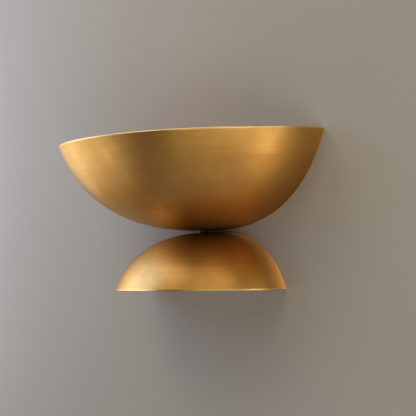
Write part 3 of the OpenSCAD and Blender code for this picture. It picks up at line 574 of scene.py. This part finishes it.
def make_piece(
        context, name, points, faces, slot, replaced, uv=None, body=FIXTURE, sharp=SHARP_ANGLE):
    """Turns arrays of points and quads into a finished piece that stands for a construction node.

    Doubles at the poles are merged and the faces of the closed form are turned outwards. Edges that
    bend by more than the sharp angle stay sharp.
    """
    mesh = bpy.data.meshes.new(name)
    mesh.from_pydata(points.tolist(), [], faces.tolist())
    if uv is not None:
        layer = mesh.uv_layers.new(name="brushing")
        corners = np.empty(len(mesh.loops), dtype=np.int64)
        mesh.loops.foreach_get("vertex_index", corners)
        layer.data.foreach_set("uv", uv[corners].astype(np.float32).ravel())
    form = bmesh.new()
    form.from_mesh(mesh)
    bmesh.ops.remove_doubles(form, verts=form.verts, dist=MERGE_DISTANCE)
    bmesh.ops.recalc_face_normals(form, faces=form.faces)
    form.to_mesh(mesh)
    form.free()
    mesh.polygons.foreach_set("use_smooth", np.ones(len(mesh.polygons), dtype=bool))
    mesh.set_sharp_from_angle(angle=sharp)
    mesh.materials.append(finish_of(context, slot))
    piece = bpy.data.objects.new(name, mesh)
    context.scene.collection.objects.link(piece)
    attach(piece, body)
    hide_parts(replaced)
    return piece


def oval_profile(half_width, height, sizes):
    """Outline of a bowl's outside from the flat's edge up to just under its rim.

    The oval's half width is A = R / (1 - (1 - 1/p)^n)^(1/n), with R the rim's half width, p the
    oval's depth and n its roundness. At a share q = r / A of it, the oval has risen by
    f(q) = 1 - (1 - q^n)^(1/n) of its height, which is scaled so that the flat's edge is at 0 and
    the rim at the bowl's height. Returns radius, height and the unit tangent at each row.
    """
    power = sizes.roundness
    depth = sizes.oval_depth
    oval = half_width / (1 - (1 - 1 / depth) ** power) ** (1 / power)
    first = math.asin((sizes.waist_flat / oval) ** (power / 2))
    last = math.asin((half_width / oval) ** (power / 2))
    low = 1 - (1 - (sizes.waist_flat / oval) ** power) ** (1 / power)

    def trace(angle):
        """Radius and height at an angle of the oval."""
        radius = oval * np.sin(angle) ** (2 / power)
        rise = 1 - np.maximum(1 - (radius / oval) ** power, 0) ** (1 / power)
        return radius, height * (rise - low) / (1 / depth - low)

    def tangent(angle):
        """Unit tangent of the outline, from two points close by."""
        step = 1e-4
        ahead, behind = np.stack(trace(angle + step)), np.stack(trace(angle - step))
        way = ahead - behind
        return way / np.linalg.norm(way, axis=0)

    # The outside ends where the top of the sheet's round edge reaches the bowl's height.
    fine = np.linspace(first, last, FINE_ROWS)
    top = trace(fine)[1] + sizes.sheet / 2 * (tangent(fine)[0] + 1)
    last = float(np.interp(height, top, fine))
    angle = np.linspace(first, last, sizes.rings)
    return *trace(angle), tangent(angle)


def half_shell(half_width, out, height, sizes):
    """Closed half shell of sheet, opening upwards, with its flat on z = 0 and its cut on y = 0.

    A profile loop runs along the outside, over the round rim and back along the inside, which is
    the outside moved square to itself by the sheet. The loop is carried through a half turn: at
    angle a the point is (r cos a, -k r sin a, z), with k the plan's depth over its half width,
    which passes from the outside's to the inside's over the rim. The two cuts are closed between
    outside and inside. The map holds a times the rim's half width, and the length along the loop
    from the middle of the rim.
    """
    radius, level, (along, up) = oval_profile(half_width, height, sizes)
    inner_radius = radius - sizes.sheet * up
    inner_level = level + sizes.sheet * along
    bend = np.linspace(-math.pi / 2, math.pi / 2, RIM_ROWS + 2)[1:-1]
    middle = np.array([(radius[-1] + inner_radius[-1]) / 2, (level[-1] + inner_level[-1]) / 2])
    outward = np.array([up[-1], -along[-1]])
    onward = np.array([along[-1], up[-1]])
    rim = middle[:, None] + sizes.sheet / 2 * (
        np.outer(outward, -np.sin(bend)) + np.outer(onward, np.cos(bend)))
    flat = np.linspace(0, 1, FLAT_ROWS + 1)[:-1]
    loop_radius = np.concatenate(
        [flat * radius[0], radius, rim[0], inner_radius[::-1], flat[::-1] * inner_radius[0]])
    loop_level = np.concatenate(
        [0 * flat, level, rim[1], inner_level[::-1], 0 * flat + inner_level[0]])
    outside = out / half_width
    wall = sizes.sheet / up[-1]
    inside = (out - wall) / (half_width - wall)
    share = np.concatenate(
        [0 * flat, 0 * radius, (bend / math.pi) + 0.5, 0 * radius + 1, 0 * flat + 1])
    depth = outside + (inside - outside) * share
    rows = len(loop_radius)
    columns = sizes.columns + 1
    turn = np.linspace(0, math.pi, columns)
    points = np.stack(np.broadcast_arrays(
        np.outer(loop_radius, np.cos(turn)),
        -np.outer(loop_radius * depth, np.sin(turn)),
        loop_level[:, None]), -1)
    step = np.hypot(np.diff(loop_radius), np.diff(loop_level))
    run = np.concatenate([[0], np.cumsum(step)])
    middle_of_rim = len(flat) + len(radius) + len(bend) // 2
    run -= run[middle_of_rim]
    uv = np.stack(np.broadcast_arrays(turn * half_width, run[:, None]), -1)
    near = np.arange(middle_of_rim - 1)
    cut = np.stack([near, near + 1, rows - 2 - near, rows - 1 - near], -1) * columns
    faces = np.concatenate([grid_faces(rows, columns), cut, cut + columns - 1])
    return points.reshape(-1, 3), faces, uv.reshape(-1, 2)


def clamp_pad(middle, sizes, columns=72):
    """Closed ring of the pad that stands on the waist plane round the nipple.

    Its section is a rectangle between the bore and the washer's radius, carried round the nipple:
    at angle a the point is (x + r cos a, y + r sin a, z).
    """
    outer = (WASHER_BOX[1].x - WASHER_BOX[0].x) / 2
    reach = np.array([sizes.pad_bore, outer, outer, sizes.pad_bore])[:, None]
    level = np.array([0, 0, sizes.pad, sizes.pad])[:, None]
    turn = np.linspace(0, 2 * math.pi, columns, endpoint=False)
    points = np.stack([
        middle.x + reach * np.cos(turn), middle.y + reach * np.sin(turn), level + 0 * turn], -1)
    uv = np.stack([reach * turn, reach + level + PAD_MAP + 0 * turn], -1)
    faces = grid_faces(4, columns, wrap_rows=True, wrap_columns=True)
    return points.reshape(-1, 3), faces, uv.reshape(-1, 2)


class WALLLIGHT_OT_bowls(bpy.types.Operator):
    """Spin the upper bowl and the lower dome from brass sheet"""

    bl_idname = "walllight.bowls"
    bl_label = "Half Bowls"

    def execute(self, context):
        sizes = context.scene.wall_light_shells
        halves = (
            ("brass_upper_bowl", "upper_bowl", BOWL_Z, 1,
             (sizes.upper_half_width, sizes.upper_out, sizes.upper_height)),
            ("brass_lower_dome", "lower_dome", DOME_Z, -1,
             (sizes.lower_half_width, sizes.lower_out, sizes.lower_height)),
        )
        nipple = (NIPPLE_BOX[0] + NIPPLE_BOX[1]) / 2
        for name, node, base, side, shape in halves:
            points, faces, uv = joined(half_shell(*shape, sizes), clamp_pad(nipple, sizes))
            points[:, 2] = base + side * points[:, 2]
            piece = make_piece(context, name, points, faces, "aged_brass", node, uv)
            # The brushed highlights run in rings round the middle of the mesh's texture space.
            piece.data.use_auto_texspace = False
            piece.data.texspace_location = (0, 0, WAIST_Z)
            piece.data.texspace_size = shape
        return {"FINISHED"}


def threaded(radius, pitch, low, high, columns, bore=0.0):
    """Threaded rod along z: a helical groove of triangular section, with both ends chamfered.

    The radius at level z and angle a is R - d * w, with d the thread's depth and w the distance of
    z / pitch - a / turn from the nearest whole number, doubled. At a distance e under one pitch
    from an end, it is at most R - d (1 - e / pitch). A bore makes the rod a hollow nipple.
    """
    turns = (high - low) / pitch
    level = np.linspace(low, high, round(turns * THREAD_ROWS_PER_TURN) + 1)
    turn = np.linspace(0, 2 * math.pi, columns, endpoint=False)
    phase = level[:, None] / pitch - turn[None, :] / (2 * math.pi)
    groove = 2 * np.abs(phase - np.round(phase))
    depth = THREAD_DEPTH * pitch
    end = np.minimum(level - low, high - level)[:, None]
    taper = depth * np.clip(1 - end / pitch, 0, 1)
    out = np.minimum(radius - depth * groove, radius - taper)
    core = np.full((1, columns), bore)
    reach = np.concatenate([core, out, core])
    height = np.concatenate([[low], level, [high]])[:, None]
    points = np.stack([reach * np.cos(turn), reach * np.sin(turn), height + 0 * turn], -1)
    faces = grid_faces(len(height), columns, wrap_rows=bore > 0, wrap_columns=True)
    return points.reshape(-1, 3), faces


class WALLLIGHT_OT_threads(bpy.types.Operator):
    """Cut the threads of the hollow nipple and of the two studs"""

    bl_idname = "walllight.threads"
    bl_label = "Threads"

    def execute(self, context):
        sizes = context.scene.wall_light_threads
        low, high = NIPPLE_BOX
        centre = (low + high) / 2
        points, faces = threaded(
            (high.x - low.x) / 2, sizes.nipple_pitch, low.z, high.z, sizes.nipple_columns,
            sizes.nipple_bore)
        points[:, :2] += (centre.x, centre.y)
        make_piece(context, "threaded_nipple", points, faces, "zinc_steel", "waist_nipple",
                   sharp=THREAD_SHARP_ANGLE)
        low, high = STUD_BOX
        rod, rod_faces = threaded(
            sizes.stud_radius, sizes.stud_pitch, 0, high.y - low.y, sizes.stud_columns)
        stud = np.stack([rod[:, 0], high.y - rod[:, 2], rod[:, 1]], -1)
        spots = [low.x + sizes.stud_radius, high.x - sizes.stud_radius]
        points = np.concatenate([stud + (x, 0, 0) for x in spots])
        faces = np.concatenate([rod_faces + i * len(stud) for i in range(len(spots))])
        make_piece(context, "threaded_studs", points, faces, "zinc_steel", "mounting_studs",
                   sharp=THREAD_SHARP_ANGLE)
        return {"FINISHED"}


class WALLLIGHT_OT_leads(bpy.types.Operator):
    """Round off the insulated leads: facets moved out a little, then smoothed twice"""

    bl_idname = "walllight.leads"
    bl_label = "Leads"

    LEADS = {
        "ground_wire": "green_lead",
        "upper_live_lead": "black_lead",
        "upper_neutral_lead": "white_lead",
        "lower_live_lead": "black_lead",
        "lower_neutral_lead": "white_lead",
    }

    def execute(self, context):
        swell = context.scene.wall_light_threads.lead_swell
        for node, slot in self.LEADS.items():
            form = bmesh.new()
            form.from_mesh(frame["nodes"][node].data)
            bmesh.ops.remove_doubles(form, verts=form.verts, dist=LEAD_MERGE_DISTANCE)
            form.normal_update()
            for vertex in form.verts:
                vertex.co += vertex.normal * swell
            bmesh.ops.join_triangles(
                form, faces=form.faces, angle_face_threshold=LEAD_FACE_ANGLE,
                angle_shape_threshold=LEAD_SHAPE_ANGLE)
            mesh = bpy.data.meshes.new(f"round_{node}")
            form.to_mesh(mesh)
            form.free()
            mesh.polygons.foreach_set("use_smooth", np.ones(len(mesh.polygons), dtype=bool))
            mesh.materials.append(finish_of(context, slot))
            piece = bpy.data.objects.new(f"round_{node}", mesh)
            context.scene.collection.objects.link(piece)
            rounding = piece.modifiers.new("rounding", "SUBSURF")
            rounding.levels = rounding.render_levels = LEAD_ROUNDING
            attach(piece, FIXTURE)
            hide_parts(node)
        return {"FINISHED"}


class WALLLIGHT_OT_fittings(bpy.types.Operator):
    """Give every piece of the construction its finish"""

    bl_idname = "walllight.fittings"
    bl_label = "Finishes"

    def execute(self, context):
        for part in frame["record"]["subparts"]:
            piece = frame["nodes"][part["node"]]
            material = finish_of(context, part["material_slot"])
            if not piece.material_slots:
                piece.data.materials.append(material)
            for slot in piece.material_slots:
                slot.material = material
        return {"FINISHED"}


def one_sided(name, tone, grain):
    """Plain painted surface of the stage, open to views from behind and to the light behind it."""
    finish = Finish(name)
    fine = finish.noise((grain, grain, grain), detail=4.0, roughness=0.6)
    cloud = finish.noise((3.0, 3.0, 3.0), detail=4.0)
    tone = finish.mix((fine - 0.5) * 0.12 + (cloud - 0.5) * 0.3 + 0.1, tone, dimmed(tone, 0.25))
    relief = finish.bump(fine, distance=0.4 * MM, strength=0.3)
    paint = finish.node("ShaderNodeBsdfDiffuse", {}, {"Color": tone, "Normal": relief})
    clear = finish.node("ShaderNodeBsdfTransparent")
    behind = finish.node("ShaderNodeNewGeometry", out="Backfacing")
    shadow = finish.node("ShaderNodeLightPath", out="Is Shadow Ray")
    open_side = behind.math("MAXIMUM", behind, shadow)
    return finish.end(finish.node("ShaderNodeMixShader", {}, {0: open_side, 1: paint, 2: clear}))


def panel_mesh(context, name, corners, material):
    """A flat rectangle of the stage."""
    mesh = bpy.data.meshes.new(name)
    mesh.from_pydata(corners, [], [(0, 1, 2, 3)])
    mesh.materials.append(material)
    piece = bpy.data.objects.new(name, mesh)
    context.scene.collection.objects.link(piece)


def softbox(context, name, azimuth, elevation, distance, width, height, radiance, tone):
    """A rectangular area light that faces the middle of the wall light from the given side.

    In degrees, the azimuth is 0 to the left along the wall and 90 straight out from it. A panel of
    radiance L and area A gives off pi A L watts.
    """
    light = bpy.data.lights.new(name, "AREA")
    light.shape = "RECTANGLE"
    light.size = width
    light.size_y = height
    light.energy = math.pi * width * height * radiance
    light.color = tone
    lamp = bpy.data.objects.new(name, light)
    turn, rise = math.radians(azimuth), math.radians(elevation)
    way = Vector((
        -math.cos(turn) * math.cos(rise), -math.sin(turn) * math.cos(rise), math.sin(rise)))
    lamp.location = Vector(STUDIO_MIDDLE) + distance * way
    lamp.rotation_mode = "QUATERNION"
    lamp.rotation_quaternion = (-way).to_track_quat("-Z", "Y")
    context.scene.collection.objects.link(lamp)


def set_camera(context, stage):
    """Camera at the photograph's viewing angle.

    Its view runs along (-sin h cos t, cos h cos t, sin t) for heading h and tilt t, and the picture
    is rolled about that axis.
    """
    heading, tilt, roll = stage.camera_heading, stage.camera_tilt, stage.camera_roll
    forward = Vector((
        -math.sin(heading) * math.cos(tilt), math.cos(heading) * math.cos(tilt), math.sin(tilt)))
    level = Vector((math.cos(heading), math.sin(heading), 0))
    upright = level.cross(forward)
    right = level * math.cos(roll) + upright * math.sin(roll)
    above = upright * math.cos(roll) - level * math.sin(roll)
    lens = bpy.data.cameras.new("camera")
    lens.sensor_width = 36.0
    lens.lens = stage.camera_lens
    lens.clip_start = 0.05
    lens.clip_end = 20.0
    camera = bpy.data.objects.new("camera", lens)
    context.scene.collection.objects.link(camera)
    turn = Matrix((right, above, -forward)).transposed().to_4x4()
    camera.matrix_world = Matrix.Translation(stage.camera_place) @ turn
    context.scene.camera = camera


class WALLLIGHT_OT_stage(bpy.types.Operator):
    """Set up the plain wall, the pale floor, the soft lights and the camera"""

    bl_idname = "walllight.stage"
    bl_label = "Stage"

    def execute(self, context):
        stage = context.scene.wall_light_stage
        colours = context.scene.wall_light_colours
        scene = context.scene
        scene.view_settings.view_transform = "Standard"
        low, top = stage.floor_level, stage.wall_top
        side, reach, gap = stage.half_wall, stage.floor_reach, stage.wall_gap
        panel_mesh(context, "wall", [
            (-side, gap, low), (side, gap, low), (side, gap, top), (-side, gap, top)],
            one_sided("painted_wall", colours.wall, grain=180.0))
        panel_mesh(context, "floor", [
            (-side, -reach, low), (side, -reach, low), (side, gap, low), (-side, gap, low)],
            one_sided("pale_floor", colours.floor, grain=120.0))
        world = bpy.data.worlds.new("room")
        scene.world = world
        world.use_nodes = True
        room = world.node_tree.nodes["Background"]
        room.inputs["Color"].default_value = (*ROOM_TONE, 1.0)
        room.inputs["Strength"].default_value = stage.room_light
        for *panel, radiance, tone in PANELS:
            softbox(context, *panel, radiance * stage.studio_level, tone)
        softbox(context, *REAR_PANEL, stage.rear_level, WHITE)
        set_camera(context, stage)
        return {"FINISHED"}


class WALLLIGHT_PT_panel(bpy.types.Panel):
    """Sidebar panel with the sizes, colours and steps of the wall light"""

    bl_idname = "WALLLIGHT_PT_panel"
    bl_label = "Half Bowl Wall Light"
    bl_space_type = "VIEW_3D"
    bl_region_type = "UI"
    bl_category = "Wall Light"

    def draw(self, context):
        for group, _ in GROUPS:
            box = self.layout.box()
            settings = getattr(context.scene, group)
            for key in settings.bl_rna.properties.keys():
                if key not in ("rna_type", "name"):
                    box.prop(settings, key)
        for step in STEPS:
            self.layout.operator(step.bl_idname)


GROUPS = (
    ("wall_light_shells", ShellSizes),
    ("wall_light_threads", ThreadSizes),
    ("wall_light_colours", FinishColours),
    ("wall_light_stage", StageSettings),
)
STEPS = (
    WALLLIGHT_OT_bowls,
    WALLLIGHT_OT_threads,
    WALLLIGHT_OT_leads,
    WALLLIGHT_OT_fittings,
    WALLLIGHT_OT_stage,
)


def register():
    """Registers the classes and hangs each group of settings on the scene."""
    for name, group in GROUPS:
        bpy.utils.register_class(group)
        setattr(bpy.types.Scene, name, PointerProperty(type=group))
    for step in STEPS:
        bpy.utils.register_class(step)
    bpy.utils.register_class(WALLLIGHT_PT_panel)


def unregister():
    """Takes away what register added, in reverse order."""
    bpy.utils.unregister_class(WALLLIGHT_PT_panel)
    for step in reversed(STEPS):
        bpy.utils.unregister_class(step)
    for name, group in reversed(GROUPS):
        delattr(bpy.types.Scene, name)
        bpy.utils.unregister_class(group)


def main():
    """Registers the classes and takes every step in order."""
    register()
    bpy.ops.walllight.bowls()
    bpy.ops.walllight.threads()
    bpy.ops.walllight.leads()
    bpy.ops.walllight.fittings()
    bpy.ops.walllight.stage()


if __name__ == "__main__":
    main()
